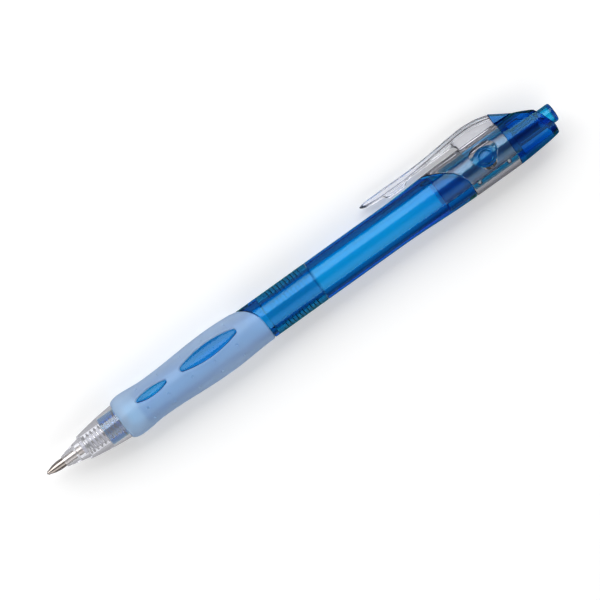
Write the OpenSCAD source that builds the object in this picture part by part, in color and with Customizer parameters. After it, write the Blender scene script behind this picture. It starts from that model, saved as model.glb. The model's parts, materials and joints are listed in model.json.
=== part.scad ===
// Retractable gel pen with its writing point out. Lengths are in millimetres.
// It is drawn upright: z runs from the writing point to the button, x points
// towards the clip, and y to one side of it. lay_down() rests it on the floor.

/* [Overall] */
// Length from the writing point to the end of the button, point out
pen_length = 145; // [144.5:0.1:146]
// Radius that the pen rests on, at the grip's swell and at the clip sleeve
rest_r = 5.75; // [5.7:0.01:5.8]

/* [Barrel] */
// Outer radius of both barrel halves at the middle seam
barrel_r = 5.1; // [5.05:0.05:5.15]
// Radius of the long bore that holds the refill
bore_r = 3.35; // [3.32:0.01:3.4]
// Distance from the writing point to the middle seam
seam_z = 77.1; // [76.5:0.1:77.5]
// Radius of the neck that carries the clip sleeve and the end cap
neck_r = 4.45; // [4.4:0.01:4.45]

/* [Middle thread] */
// Travel of the screw joint in one turn
thread_pitch = 2; // [1.9:0.05:2.1]
// Turns of thread on the rear barrel's spigot
thread_turns = 5.5; // [4:0.5:5.5]
// Radius at the bottom of the outside thread
thread_root_r = 4; // [3.95:0.01:4]
// Height of the thread
thread_height = 0.4; // [0.35:0.05:0.4]
// Clearance between the two threads
thread_gap = 0.1; // [0.08:0.01:0.12]

/* [Nose and grip] */
// Distance from the writing point to the nose cone's front opening
nose_z = 5; // [4.8:0.1:5.2]
// Distance from the writing point to the grip's front edge
grip_z = 21.3; // [21:0.1:21.5]
// Radius of the grip's front shoulder
grip_shoulder_r = 5.45; // [5.4:0.01:5.5]
// Radius of the grip's waist
grip_waist_r = 5; // [4.95:0.01:5.05]
// Radius of the grip at its rear edge
grip_end_r = 5.2; // [5.2:0.01:5.3]
// Angle of the grip's windows about the pen, from the side of the clip
window_turn = -7.5; // [-10:0.5:10]

/* [Clip] */
// Distance from the writing point to the clip's free end
clip_tip_z = 95.2; // [95:0.1:96]
// Height of the clip's hump above the pen's axis
clip_hump_x = 9.35; // [9.3:0.01:9.4]
// Half the clip's width at the hump
clip_half_width = 1.8; // [1.7:0.05:1.9]
// Thickness of the upright web that joins the clip to its sleeve
clip_web = 1.4; // [1.2:0.1:1.6]

/* [Refill] */
// Radius of the writing ball
ball_r = 0.35; // [0.3:0.05:0.35]
// Radius of the metal point's shank
shank_r = 1.15; // [1.14:0.01:1.16]
// Outer radius of the ink tube
tube_r = 2.75; // [2.7:0.01:2.78]
// Inner radius of the ink tube
tube_bore_r = 2.3; // [2.25:0.01:2.35]
// Distance from the writing point to the rear end of the refill
refill_end_z = 111.95; // [111.9:0.01:111.97]

/* [Click mechanism] */
// Radius of the button and of the thrust tube
button_r = 2.35; // [2.3:0.01:2.36]
// Radius that the guide tube's ribs leave free
rib_r = 2.42; // [2.41:0.01:2.45]
// Radius of the guide tube's grooves
groove_r = 2.9; // [2.88:0.01:2.95]
// Travel of the refill when the point goes in
click_travel = 6; // [5.5:0.1:6]

/* [Hidden] */

// Colours as red, green, blue and opacity
clear_colour = [0.90, 0.92, 0.95, 0.35];
barrel_colour = [0.00, 0.45, 0.80, 0.60];
cap_colour = [0.00, 0.28, 0.65, 0.75];
button_colour = [0.00, 0.55, 0.76, 0.90];
grip_colour = [0.55, 0.70, 0.90, 0.80];
natural_colour = [0.85, 0.88, 0.90, 0.60];
metal_colour = [0.70, 0.64, 0.60];
ink_colour = [0.02, 0.10, 0.45];

fit_gap = 0.05;        // radial clearance of pieces that slide or are pressed together
round_steps = 96;      // $fn of every turned surface
beyond = 20;           // length by which a cutting shape passes what it cuts

// The nose and what lies under the grip
nose_step_z = nose_z + 5.1;
nose_tip_r = 1.42;
spring_seat_z = nose_z + 6.2;
spigot_z = nose_z + 11.8;
nose_end_z = nose_z + 21.5;
spigot_r = 3.55;
under_grip_r = 4.38;
grip_bore_r = 4.43;
spring_bore_r = 2.95;

// The grip's outline
grip_shoulder_z = grip_z + 2.7;
grip_waist_z = grip_z + 9.2;
grip_swell_z = grip_z + 27.7;
grip_end_z = grip_z + 40.5;
grip_edge_r = 8.1;
grip_edge_x = -2.4;

// Windows in the grip, each as [middle, half length, half width]
windows = [[31.15, 4.25, 1.14], [47.35, 7.95, 1.92]];
pad_depth = 0.15;

// The barrel's rear end and the clip sleeve
swell_start_z = 98;
sleeve_z = 119.2;
sleeve_edge_x = -3.5;
sleeve_edge_bend = 0.115;
sleeve_end_z = 132;
neck_end_z = 133.6;
boss_z = 125.6;
boss_r = 2.85;
boss_dish_r = 1.9;
pips_z = [121.2, 129.6];
pip_angle = 158;
pip_r = 0.6;
pip_sink = 0.1;

// The screw joint
spigot_end_z = 63.2;
thread_crest_r = thread_root_r + thread_height;
thread_base = 1.1;
thread_tip = 0.5;
thread_steps = 24;
thread_z = spigot_end_z + 1.6;
inner_thread_turns = 2;
inner_thread_z = thread_z + 3.5*thread_pitch;

// The clip's side outline, as [distance from the point, height above the axis]
clip_split_z = 122;
clip_top = [[clip_tip_z + 0.3, 8.25], [clip_tip_z + 1.5, 8.42], [98, 8.45], [110, 8.45],
            [115, 8.65], [120, 9.05], [123, clip_hump_x - 0.06], [125.5, clip_hump_x],
            [127.5, clip_hump_x - 0.12], [130, 8.78], [sleeve_end_z - 0.05, 8.15]];
clip_under = [[clip_tip_z + 0.1, 8], [clip_tip_z + 0.8, 7.7], [98, 7.35], [103, 7.1],
              [110, 7.25], [115, 7.6], [120, 8], [125.5, 8.3], [130, 7.7],
              [sleeve_end_z - 0.05, 7.1]];
// Half the clip's width, as [distance from the point, half width]
clip_plan = [[clip_tip_z - 0.1, 0.5], [clip_tip_z + 0.25, 0.95], [clip_tip_z + 0.9, 1.25],
             [98, 1.35], [107, 1.4], [119, clip_half_width], [135, clip_half_width]];
clip_web_x = 7.1;
clip_bump_x = 6.05;
clip_bump_z = [101.3, 102.7, 106.8, 107.8];
clip_bump_width = 2;
clip_split_gap = 0.05;

// The end cap
cap_end_z = pen_length - 1.7;
cap_slope_top = [sleeve_end_z, 8.2];
cap_slope_end = [141, 2.32];
cap_seat_z = neck_end_z + 0.1;

// The click mechanism
guide_r = bore_r - fit_gap;
guide_z = 112;
rib_z = 118.2;
groove_end_z = 128;
groove_width = 1.6;
lug_width = 1.4;
lug_r = groove_r - 0.08;
rotor_z = refill_end_z + 0.05;
lug_z = 115.5;
rotor_end_z = rib_z - 0.2;
rotor_stem_r = 1.45;
thrust_z = rotor_end_z + 0.6;
thrust_lug_end_z = 121.5;
thrust_end_z = 134;
button_bore_r = 1.55;
button_stem_end_z = 140;
button_round = 0.5;
rotor_stem_end_z = 124;
rotor_cup_r = 1.6;
crown_teeth = 8;
crown_depth = 0.5;

// The refill
ball_z = ball_r;
holder_z = 10.3;
point_end_z = 12;
flange_z = 22;
flange_r = 2.7;
plug_z = flange_z + 1.4;
plug_end_z = 29.5;
ink_channel_r = 0.9;
ink_end_z = 100;
follower_end_z = 106.7;
tail_z = 108.5;
tail_head_z = refill_end_z - 0.9;

vent_r = 0.4;
point_channel_r = 0.22;
point_bore_z = 2.2;
point_bore_r = 0.55;

// The needle spring inside the metal point
needle_r = 0.06;
needle_end_z = 3;
needle_coil_r = 0.42;
needle_pitch = 0.5;
needle_turns = 14;
needle_steps = 10;

// The return spring
spring_steps = 14;
spring_wire = 0.4;
spring_r = 2.25;
spring_pitch = 1.07;
spring_start_z = spring_seat_z + spring_wire/2 + 0.02;
spring_end_z = flange_z - spring_wire/2 - 0.02;
spring_closed = spring_wire + 0.02;
spring_turns = (spring_end_z - spring_start_z - 2*spring_closed)/spring_pitch;

// The clip turns towards the floor until its hump rests there beside the grip
hump_reach = sqrt(clip_hump_x^2 + clip_half_width^2);
clip_roll = asin(rest_r/hump_reach) - atan(clip_half_width/clip_hump_x);
clip_side_y = clip_hump_x*cos(clip_roll) + clip_half_width*sin(clip_roll);
axis_y = (clip_side_y - rest_r)/2;

clip_outline = concat(clip_top, [for (i = [len(clip_under) - 1:-1:0]) clip_under[i]]);
clip_plan_outline = concat(
  clip_plan, [for (i = [len(clip_plan) - 1:-1:0]) [clip_plan[i][0], -clip_plan[i][1]]]);

function ease(t) = (1 - cos(180*t))/2;
function clamped(x, low, high) = max(low, min(high, x));
function between(z, a, b) = a[1] + (b[1] - a[1])*ease((z - a[0])/(b[0] - a[0]));

// Place along the return spring after a number of turns. Its end coils are closed.
function spring_z(t) =
  spring_start_z + spring_closed*(min(t, 1) + max(t - 1 - spring_turns, 0))
  + spring_pitch*clamped(t - 1, 0, spring_turns);

// Outer radius of the grip at the distance z from the writing point
function grip_r(z) =
  z < grip_shoulder_z
    ? 4.5 + (grip_shoulder_r - 4.5)*sqrt(1 - ((grip_shoulder_z - z)/(grip_shoulder_z - grip_z))^2)
  : z < grip_waist_z ? between(z, [grip_shoulder_z, grip_shoulder_r], [grip_waist_z, grip_waist_r])
  : z < grip_swell_z ? between(z, [grip_waist_z, grip_waist_r], [grip_swell_z, rest_r])
  : between(z, [grip_swell_z, rest_r], [grip_end_z, grip_end_r]);

// Outer radius of the nose cone behind its small step
function nose_r(z) = 4.5 - 0.0688*(grip_z - z) - 0.00563*(grip_z - z)^2;

// Outer radius of the rear barrel
function rear_r(z) =
  z < swell_start_z ? barrel_r : between(z, [swell_start_z, barrel_r], [sleeve_z, rest_r - 0.03]);

module lay_down()
  translate([pen_length/2, axis_y, rest_r])
    rotate([90 + clip_roll, 0, 0])
      rotate([0, -90, 0])
        children();

// The clip's top strip between two distances from the writing point
module clip_flange(z1, z2)
  intersection() {
    side_plate(clip_outline, beyond);
    rotate([0, -90, 0]) linear_extrude(beyond, center = true) polygon(clip_plan_outline);
    translate([0, -beyond/2, z1]) cube([beyond, beyond, z2 - z1]);
  }

// A turned shape from its outline, given as [radius, z]
module turned(outline) rotate_extrude($fn = round_steps) polygon(outline);

module rod(r, z1, z2) translate([0, 0, z1]) cylinder(r = r, h = z2 - z1, $fn = round_steps);

// A side outline of [z, x] points, made thickness wide across the pen
module side_plate(outline, thickness)
  rotate([90, 0, 0])
    linear_extrude(thickness, center = true)
      polygon([for (p = outline) [p[1], p[0]]]);

// Four bars across the axis, which make lugs or grooves
module cross_bars(width, z1, z2)
  for (a = [0, 90])
    rotate([0, 0, a]) translate([-beyond/2, -width/2, z1]) cube([beyond, width, z2 - z1]);

module lugs(r, width, z1, z2)
  intersection() {
    rod(r, z1, z2);
    cross_bars(width, z1 - 1, z2 + 1);
  }

// A rod across the pen through the neck's two bosses
module cross_rod(r)
  translate([0, 0, boss_z]) rotate([90, 0, 0])
    cylinder(r = r, h = beyond, center = true, $fn = round_steps);

// Two pairs of round pips on the neck, on the side away from the clip
module pips(r)
  for (z = pips_z, side = [-1, 1])
    rotate([0, 0, side*pip_angle]) translate([neck_r - pip_sink, 0, z]) sphere(r, $fn = 32);

// Shallow notches across an end face, which leave a crown of teeth
module crown_notches(z)
  for (i = [0:crown_teeth/2 - 1])
    rotate([0, 0, (i + 0.5)*360/crown_teeth])
      translate([0, 0, z]) rotate([45, 0, 0]) cube([beyond, crown_depth, crown_depth], center = true);

// A lens outline cut right through the pen, for the grip's windows
module lens_prism(window, grow = 0) {
  half_length = window[1] + grow;
  half_width = window[2] + grow;
  arc_r = (half_length^2 + half_width^2)/(2*half_width);
  rotate([0, 0, window_turn])
    translate([0, 0, window[0]])
      rotate([90, 0, 0])
        linear_extrude(beyond, center = true)
          intersection_for(side = [-1, 1])
            translate([side*(arc_r - half_width), 0]) circle(arc_r, $fn = round_steps);
}

// Everything in front of an edge that is straight below and curves forward
// towards the clip's side: its low part is at end_z, its arc's centre at x
module in_front_of(end_z, x, arc_r, gap = 0)
  rotate([90, 0, 0]) linear_extrude(beyond, center = true) {
    translate([x, end_z - arc_r]) circle(arc_r + gap, $fn = round_steps);
    translate([-beyond, -beyond]) square([2*beyond, end_z - arc_r + beyond]);
    translate([-beyond, -beyond]) square([beyond + x, end_z + gap + beyond]);
  }

// Distance from the writing point to the sleeve's front edge, which is straight
// below and curves forward towards the clip's side
function sleeve_edge(x) = sleeve_z - sleeve_edge_bend*max(x - sleeve_edge_x, 0)^2;

// Everything in front of the sleeve's edge
module in_front_of_sleeve(gap = 0)
  rotate([90, 0, 0]) linear_extrude(beyond, center = true)
    polygon([
      [-beyond, -beyond], [-beyond, sleeve_z + gap],
      for (x = [sleeve_edge_x:0.5:rest_r + 1]) [x, sleeve_edge(x) + gap],
      [rest_r + 1, -beyond]]);

// Points of a ring of the wire that is swept along a coil
function wire_ring(centre, turn, wire_r, sides) = [
  for (i = [0:sides - 1])
    let(a = -360*i/sides, out = centre[0] + wire_r*cos(a))
      [out*cos(turn), out*sin(turn), centre[1] + wire_r*sin(a)]];

// Closes rings of points, each with the same number of sides, into a solid
module swept(rings) {
  sides = len(rings[0]);
  last = (len(rings) - 1)*sides;
  skin = [
    for (ring = [0:len(rings) - 2], i = [0:sides - 1])
      let(a = ring*sides + i, b = ring*sides + (i + 1) % sides)
        each [[a, a + sides, b], [b, a + sides, b + sides]]];
  front = [[for (i = [0:sides - 1]) i]];
  back = [[for (i = [sides - 1:-1:0]) last + i]];
  polyhedron([for (ring = rings) each ring], concat(front, skin, back), convexity = 10);
}

// A raised thread. r1 and r2 are its inner and outer radius, w1 and w2 its
// widths there.
module thread_ridge(z, turns, r1, r2, w1, w2) {
  swept([
    for (i = [0:turns*thread_steps])
      let(turn = 360*i/thread_steps, up = z + thread_pitch*i/thread_steps)
        [for (p = [[r1, -w1/2], [r1, w1/2], [r2, w2/2], [r2, -w2/2]])
          [p[0]*cos(turn), p[0]*sin(turn), up + p[1]]]]);
}

module nose_cone() color(clear_colour) lay_down() {
  outside = [
    [nose_tip_r, nose_z], [2.05, nose_z + 2.5], [2.58, nose_step_z], [2.58, nose_step_z + 0.2],
    [nose_r(nose_step_z + 0.4), nose_step_z + 0.4],
    for (z = [nose_step_z + 1.2:1:grip_z - 0.1]) [nose_r(z), z],
    [nose_r(grip_z), grip_z - 0.02], [under_grip_r, grip_z - 0.02], [under_grip_r, nose_end_z]];
  inside = [
    [spigot_r + fit_gap, nose_end_z], [spigot_r + fit_gap, spigot_z - fit_gap],
    [spring_r + spring_wire/2 + 0.15, spigot_z - fit_gap],
    [spring_r + spring_wire/2 + 0.15, spring_seat_z], [1.75, spring_seat_z],
    [1.75, nose_z + 3.9], [shank_r + fit_gap, nose_z + 3.3], [shank_r + fit_gap, nose_z]];
  turned(concat(outside, inside));
}

module grip() color(grip_colour) lay_down()
  difference() {
    intersection() {
      turned([
        [grip_bore_r, grip_z],
        for (z = [grip_z:0.45:grip_shoulder_z]) [grip_r(z), z],
        for (z = [grip_shoulder_z + 1:1:grip_end_z + 1]) [grip_r(min(z, grip_end_z)), z],
        [grip_bore_r, grip_end_z + 1]]);
      in_front_of(grip_end_z, grip_edge_x, grip_edge_r);
    }
    for (window = windows) lens_prism(window, fit_gap);
  }

module window_pads()
  for (window = windows) {
    start = window[0] - window[1] - 0.7;
    end = window[0] + window[1] + 0.7;
    intersection() {
      turned([[under_grip_r - 0.5, start], for (z = [start:1:end]) [grip_r(z) - pad_depth, z],
              [under_grip_r - 0.5, end]]);
      lens_prism(window);
    }
  }

module front_barrel() color(barrel_colour) lay_down() {
  difference() {
    union() {
      turned([
        [spring_bore_r, spigot_z], [spigot_r, spigot_z], [spigot_r, nose_end_z + fit_gap],
        [under_grip_r, nose_end_z + fit_gap], [under_grip_r, seam_z - 1],
        [bore_r, seam_z - 1], [bore_r, flange_z + click_travel + 1],
        [spring_bore_r, flange_z + click_travel + 1]]);
      difference() {
        rod(barrel_r, grip_end_z - 6, seam_z - fit_gap);
        rod(bore_r + 0.2, grip_end_z - 7, seam_z);
        in_front_of(grip_end_z, grip_edge_x, grip_edge_r, fit_gap);
      }
    }
    rod(thread_crest_r + thread_gap, spigot_end_z - 0.1, seam_z);
  }
  window_pads();
  thread_ridge(inner_thread_z, inner_thread_turns, thread_root_r + thread_gap,
               thread_crest_r + thread_gap + 0.2, thread_tip, thread_base);
}

module neck()
  difference() {
    union() {
      rod(neck_r, sleeve_edge(rest_r) - 1, neck_end_z);
      difference() {
        intersection() {
          cross_rod(boss_r);
          rod(rest_r - 0.15, boss_z - 5, boss_z + 5);
        }
        difference() {
          cross_rod(boss_dish_r);
          rod(rest_r - 0.6, boss_z - 5, boss_z + 5);
        }
      }
      pips(pip_r);
    }
    rod(bore_r, sleeve_edge(rest_r) - 2, neck_end_z + 1);
  }

module rear_barrel() color(barrel_colour) lay_down() {
  difference() {
    intersection() {
      turned([
        [0, seam_z], [rear_r(seam_z), seam_z], [rear_r(swell_start_z), swell_start_z],
        for (z = [swell_start_z + 1:1:sleeve_z]) [rear_r(z), z],
        [rear_r(sleeve_z), sleeve_z + 1], [0, sleeve_z + 1]]);
      in_front_of_sleeve();
    }
    rod(bore_r, seam_z - 1, sleeve_z + 2);
  }
  neck();
  turned([
    [bore_r, spigot_end_z], [thread_root_r - 0.2, spigot_end_z],
    [thread_root_r, spigot_end_z + 0.2], [thread_root_r, seam_z + 1], [bore_r, seam_z + 1]]);
  thread_ridge(thread_z, thread_turns, thread_root_r - 0.2, thread_crest_r,
               thread_base, thread_tip);
}

module clip_sleeve() color(clear_colour) lay_down() {
  difference() {
    turned([
      [neck_r + fit_gap, sleeve_edge(rest_r)],
      for (z = [sleeve_edge(rest_r):1:sleeve_z]) [rear_r(z), z],
      [rest_r, sleeve_z + 0.5], [rest_r, sleeve_end_z - fit_gap],
      [neck_r + fit_gap, sleeve_end_z - fit_gap]]);
    in_front_of_sleeve(fit_gap);
    cross_rod(boss_r + fit_gap);
    pips(pip_r + fit_gap);
  }
  clip_flange(clip_split_z + clip_split_gap, sleeve_end_z);
  side_plate([[clip_split_z - 0.6, rest_r - 0.4], [clip_split_z + clip_split_gap, rest_r + 0.9],
              [clip_split_z + clip_split_gap, 8.3], [sleeve_end_z - fit_gap, 7.3],
              [sleeve_end_z - fit_gap, rest_r - 0.4]], clip_web);
}

module clip_arm() color(clear_colour) lay_down() {
  clip_flange(clip_tip_z - 1, clip_split_z - clip_split_gap);
  side_plate([[107, 7.5], [110, clip_web_x], [clip_split_z - clip_split_gap, clip_web_x],
              [clip_split_z - clip_split_gap, 8.3], [107, 7.6]], clip_web);
  side_plate([[clip_bump_z[0], 7.4], [clip_bump_z[1], clip_bump_x], [clip_bump_z[2], clip_bump_x],
              [clip_bump_z[3], 7.4]], clip_bump_width);
}

module end_cap() color(cap_colour) lay_down()
  difference() {
    intersection() {
      union() {
        turned([[0, sleeve_end_z], [rest_r, sleeve_end_z], [5.6, 135], [5.3, 139], [5, 141.9],
                [4.75, 142.6], [4.2, cap_end_z - 0.1], [3.6, cap_end_z], [0, cap_end_z]]);
        side_plate([[sleeve_end_z, 4], cap_slope_top, cap_slope_end, [139, 1]], 2*clip_half_width);
      }
      side_plate([[sleeve_end_z, -8], cap_slope_top, cap_slope_end, [142.2, -0.5],
                  [cap_end_z, -3.2], [cap_end_z, -8]], beyond);
    }
    rod(neck_r + fit_gap, sleeve_end_z - 1, cap_seat_z);
    rod(rib_r, sleeve_end_z, pen_length);
  }

module guide_tube() color(cap_colour) lay_down()
  difference() {
    rod(guide_r, guide_z, neck_end_z);
    rod(rib_r, guide_z - 1, neck_end_z + 1);
    rod(groove_r, guide_z - 1, rib_z);
    lugs(groove_r, groove_width, rib_z - 1, groove_end_z);
    intersection() {
      rod(groove_r, rib_z - 1, rib_z + 2);
      for (a = [45, 135])
        rotate([0, 0, a]) translate([0, 0, rib_z]) rotate([45, 0, 0])
          cube([beyond, crown_depth, crown_depth], center = true);
    }
  }

module push_button() color(button_colour) lay_down()
  difference() {
    turned([[0, thrust_end_z + fit_gap], [button_r, thrust_end_z + fit_gap],
            for (a = [0:15:90])
              [button_r - button_round*(1 - cos(a)), pen_length - button_round*(1 - sin(a))],
            [0, pen_length]]);
    rod(button_bore_r, thrust_end_z, button_stem_end_z + fit_gap);
  }

module thrust_tube() color(button_colour) lay_down()
  difference() {
    union() {
      rod(button_r, thrust_z, thrust_end_z);
      rod(button_bore_r - fit_gap, thrust_end_z - 1, button_stem_end_z);
      lugs(lug_r, lug_width, thrust_z + 0.1, thrust_lug_end_z);
    }
    rod(rotor_stem_r + 0.1, thrust_z - 1, groove_end_z);
    crown_notches(thrust_z);
  }

module cam_rotor() color(natural_colour) lay_down()
  difference() {
    union() {
      rod(button_r - 0.05, rotor_z, rotor_end_z);
      rod(rotor_stem_r, rotor_end_z - 1, rotor_stem_end_z);
      lugs(lug_r, lug_width, lug_z, rotor_end_z);
    }
    rod(rotor_cup_r, rotor_z - 1, rotor_z + 1);
    difference() {
      crown_notches(rotor_end_z);
      rod(rotor_stem_r, rotor_end_z - 2, rotor_end_z + 2);
    }
  }

module return_spring() color(metal_colour) lay_down()
  swept([
    for (i = [0:floor((spring_turns + 2)*spring_steps)])
      wire_ring([spring_r, spring_z(i/spring_steps)], 360*i/spring_steps, spring_wire/2, 6)]);

module ball() color(metal_colour) lay_down() translate([0, 0, ball_z]) sphere(ball_r, $fn = 48);

module metal_point() color(metal_colour) lay_down()
  difference() {
    turned([[0, 0.22], [0.43, 0.22], [0.62, 1], [0.95, 2], [1.1, 3], [shank_r, 3.4],
            [shank_r, point_end_z], [0, point_end_z]]);
    translate([0, 0, ball_z]) sphere(ball_r + 0.02, $fn = 48);
    rod(point_channel_r, ball_z, point_bore_z + 0.1);
    rod(point_bore_r, point_bore_z, point_end_z + 1);
  }

module point_spring() color(metal_colour) lay_down() {
  rod(needle_r, 2*ball_r + 0.05, needle_end_z + needle_r);
  translate([0, 0, needle_end_z]) rotate([0, 90, 0])
    cylinder(r = needle_r, h = needle_coil_r, $fn = 24);
  swept([
    for (i = [0:needle_turns*needle_steps])
      wire_ring([needle_coil_r, needle_end_z + needle_pitch*i/needle_steps],
                360*i/needle_steps, needle_r, 6)]);
}

module point_holder() color(natural_colour) lay_down()
  difference() {
    turned([[0, holder_z], [1.35, holder_z], [1.55, holder_z + 0.3], [1.55, holder_z + 1.9],
            [1.9, holder_z + 2.4], [1.9, flange_z], [flange_r, flange_z], [flange_r, plug_z],
            [tube_bore_r - 0.02, plug_z], [tube_bore_r - 0.02, plug_end_z], [0, plug_end_z]]);
    rod(shank_r + 0.02, holder_z - 1, point_end_z + fit_gap);
    rod(ink_channel_r, point_end_z, plug_end_z + 1);
  }

module refill_tube() color(natural_colour) lay_down()
  turned([[tube_r, plug_z + fit_gap], [tube_r, tail_head_z], [tube_bore_r, tail_head_z],
          [tube_bore_r, plug_z + fit_gap]]);

module ink() color(ink_colour) lay_down()
  turned([[0, point_end_z + 0.1], [ink_channel_r - 0.02, point_end_z + 0.1],
          [ink_channel_r - 0.02, plug_end_z + fit_gap], [tube_bore_r - 0.02, plug_end_z + fit_gap],
          [tube_bore_r - 0.02, ink_end_z], [0, ink_end_z]]);

module ink_follower() color(natural_colour) lay_down()
  rod(tube_bore_r - 0.02, ink_end_z + 0.02, follower_end_z);

module tail_plug() color(natural_colour) lay_down()
  difference() {
    union() {
      rod(tube_bore_r - 0.02, tail_z, tail_head_z + fit_gap);
      rod(tube_r, tail_head_z + fit_gap, refill_end_z);
    }
    rod(vent_r, tail_z - 1, refill_end_z + 1);
  }

nose_cone();
grip();
front_barrel();
rear_barrel();
clip_sleeve();
clip_arm();
end_cap();
guide_tube();
push_button();
thrust_tube();
cam_rotor();
return_spring();
ball();
metal_point();
point_spring();
point_holder();
refill_tube();
ink();
ink_follower();
tail_plug();
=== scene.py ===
import json
import math

import bmesh
import bpy
import numpy as np
from mathutils import Matrix, Vector


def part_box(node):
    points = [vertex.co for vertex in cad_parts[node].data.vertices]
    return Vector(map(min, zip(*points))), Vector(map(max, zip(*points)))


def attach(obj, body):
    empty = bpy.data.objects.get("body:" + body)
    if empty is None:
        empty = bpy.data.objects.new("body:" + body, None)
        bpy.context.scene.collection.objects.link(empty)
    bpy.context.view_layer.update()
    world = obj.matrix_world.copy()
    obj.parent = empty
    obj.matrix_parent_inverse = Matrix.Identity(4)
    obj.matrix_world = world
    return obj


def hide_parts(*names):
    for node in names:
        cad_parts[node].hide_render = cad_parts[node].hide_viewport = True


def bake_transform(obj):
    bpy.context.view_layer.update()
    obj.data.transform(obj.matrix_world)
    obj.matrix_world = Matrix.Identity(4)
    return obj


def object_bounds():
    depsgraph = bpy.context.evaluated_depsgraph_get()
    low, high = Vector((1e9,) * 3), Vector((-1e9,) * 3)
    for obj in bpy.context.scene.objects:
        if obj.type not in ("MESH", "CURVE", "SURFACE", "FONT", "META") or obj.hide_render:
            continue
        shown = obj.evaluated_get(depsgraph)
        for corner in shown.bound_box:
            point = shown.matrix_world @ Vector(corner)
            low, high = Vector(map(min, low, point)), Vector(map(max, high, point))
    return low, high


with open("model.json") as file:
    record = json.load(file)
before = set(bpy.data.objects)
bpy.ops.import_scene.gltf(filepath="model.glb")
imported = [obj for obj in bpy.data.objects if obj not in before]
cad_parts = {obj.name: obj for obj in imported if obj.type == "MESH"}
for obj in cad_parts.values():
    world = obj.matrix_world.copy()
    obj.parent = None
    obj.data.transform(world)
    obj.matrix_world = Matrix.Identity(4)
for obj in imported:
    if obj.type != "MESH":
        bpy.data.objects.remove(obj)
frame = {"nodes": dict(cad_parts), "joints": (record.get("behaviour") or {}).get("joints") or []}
cad_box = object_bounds()

# Shapes are worked out as the CAD source has them: upright, in millimetres, with z running from the
# writing point to the button, x towards the clip and y to one side of it. laid() puts them in the frame.
MM = 0.001
TAU = 2 * math.pi

tube_low, tube_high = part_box("refill_tube")
AXIS_Y = (tube_low.y + tube_high.y) / 2
AXIS_Z = (tube_low.z + tube_high.z) / 2
POINT_X = cad_box[1].x
clip_joint = next(j for j in frame["joints"] if j["name"] == "clip_flex")
ROLL = math.atan2(clip_joint["axis"][1], -clip_joint["axis"][2])


def laid(points):
    """Upright points in millimetres as points of the frame in metres."""
    p = np.asarray(points, float) * MM
    x, y, z = p[..., 0], p[..., 1], p[..., 2]
    return np.stack(
        [
            POINT_X - z,
            AXIS_Y - x * math.cos(ROLL) - y * math.sin(ROLL),
            AXIS_Z - x * math.sin(ROLL) + y * math.cos(ROLL),
        ],
        axis=-1,
    )


# ---------------------------------------------------------------- sizes

PEN_LENGTH = 145.0
REST_R = 5.75  # what the pen rests on: the grip's swell and the clip sleeve

BARREL_R = 5.1
BORE_R = 3.05  # narrower than the CAD's bore, for how the walls refract
SPIGOT_END_Z = 63.2  # the front end of the rear barrel's spigot
SEAM_Z = 77.1
SWELL_Z = 98.0  # where the rear barrel starts to swell

NECK_R = 4.45
NECK_BORE_R = 3.4
NECK_END_Z = 133.6
SLEEVE_Z = 119.2
SLEEVE_END_Z = 131.95
SLEEVE_EDGE_R = 5.6
BOSS_Z = 125.6
BOSS_X = -0.5
PIPS_Z = (121.2, 129.6)
PIP_TURN = math.radians(146)
PIP_PLACE_R = 4.35
PIP_R = 0.5
PIP_POCKET_R = 0.6

THREAD_Z = 64.3
THREAD_END_Z = 76.3
THREAD_PITCH = 2.0
THREAD_R = 3.9
THREAD_GAP = 0.05  # from THREAD_R to the middle of each thread
THREAD_DEPTH = 0.065  # much lower than the CAD's thread, for how the joint looks through the wall
THREAD_STEEPNESS = 2.4
THREAD_ROW = 0.09

GRIP_Z = 21.3
GRIP_END_Z = 61.8
GRIP_SHOULDER = 2.7  # the length of the rounded front end
GRIP_BORE_R = 4.43
UNDER_GRIP_R = 4.38
SLANT_Z = 56.0  # behind this the grip's rows lean towards its slanted rear edge
WINDOW_TURN = math.radians(82.5)
WINDOWS = ((31.15, 4.25, 1.14, 0.5), (47.35, 7.95, 1.92, 0.8))  # middle, half length, half width, tip radius
WINDOW_LEAST = math.radians(0.5)
WINDOW_SIDE = math.radians(26)  # the grid's columns follow the windows' edges up to this angle
DIMPLES_Z = (28.4, 34.2, 40.9, 47.2, 53.5)
DIMPLE_TURNS = (32.25, 68.5)  # degrees from the middle of a window
DIMPLE_R = 0.42
DIMPLE_DEPTH = 0.42

FILLET_STEPS = 5
BOSS_STEPS = 72
PIP_RINGS = 11
TUBE_STEPS = 160  # columns round the barrel and the sleeve
ROD_STEPS = 96


def ease(t):
    """From 0 to 1, slowly at both ends."""
    return (1 - np.cos(np.pi * np.clip(t, 0, 1))) / 2


def between(z, a, b):
    """A radius that eases from a to b, each given as (distance, radius)."""
    return a[1] + (b[1] - a[1]) * ease((z - a[0]) / (b[0] - a[0]))


def grip_r(z):
    z = np.asarray(z, float)
    shoulder, waist, swell = GRIP_Z + GRIP_SHOULDER, GRIP_Z + 9.2, GRIP_Z + 27.7
    front = 4.5 + 0.95 * np.sqrt(np.clip(1 - ((shoulder - z) / GRIP_SHOULDER) ** 2, 0, 1))
    return np.where(
        z < shoulder,
        front,
        np.where(
            z < waist,
            between(z, (shoulder, 5.45), (waist, 5.0)),
            np.where(
                z < swell,
                between(z, (waist, 5.0), (swell, REST_R)),
                between(z, (swell, REST_R), (GRIP_END_Z, 5.2)),
            ),
        ),
    )


def nose_r(z):
    return 4.5 - 0.0688 * (GRIP_Z - z) - 0.00563 * (GRIP_Z - z) ** 2


def rear_r(z):
    return between(np.asarray(z, float), (SWELL_Z, BARREL_R), (SLEEVE_Z, REST_R - 0.03))


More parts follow.
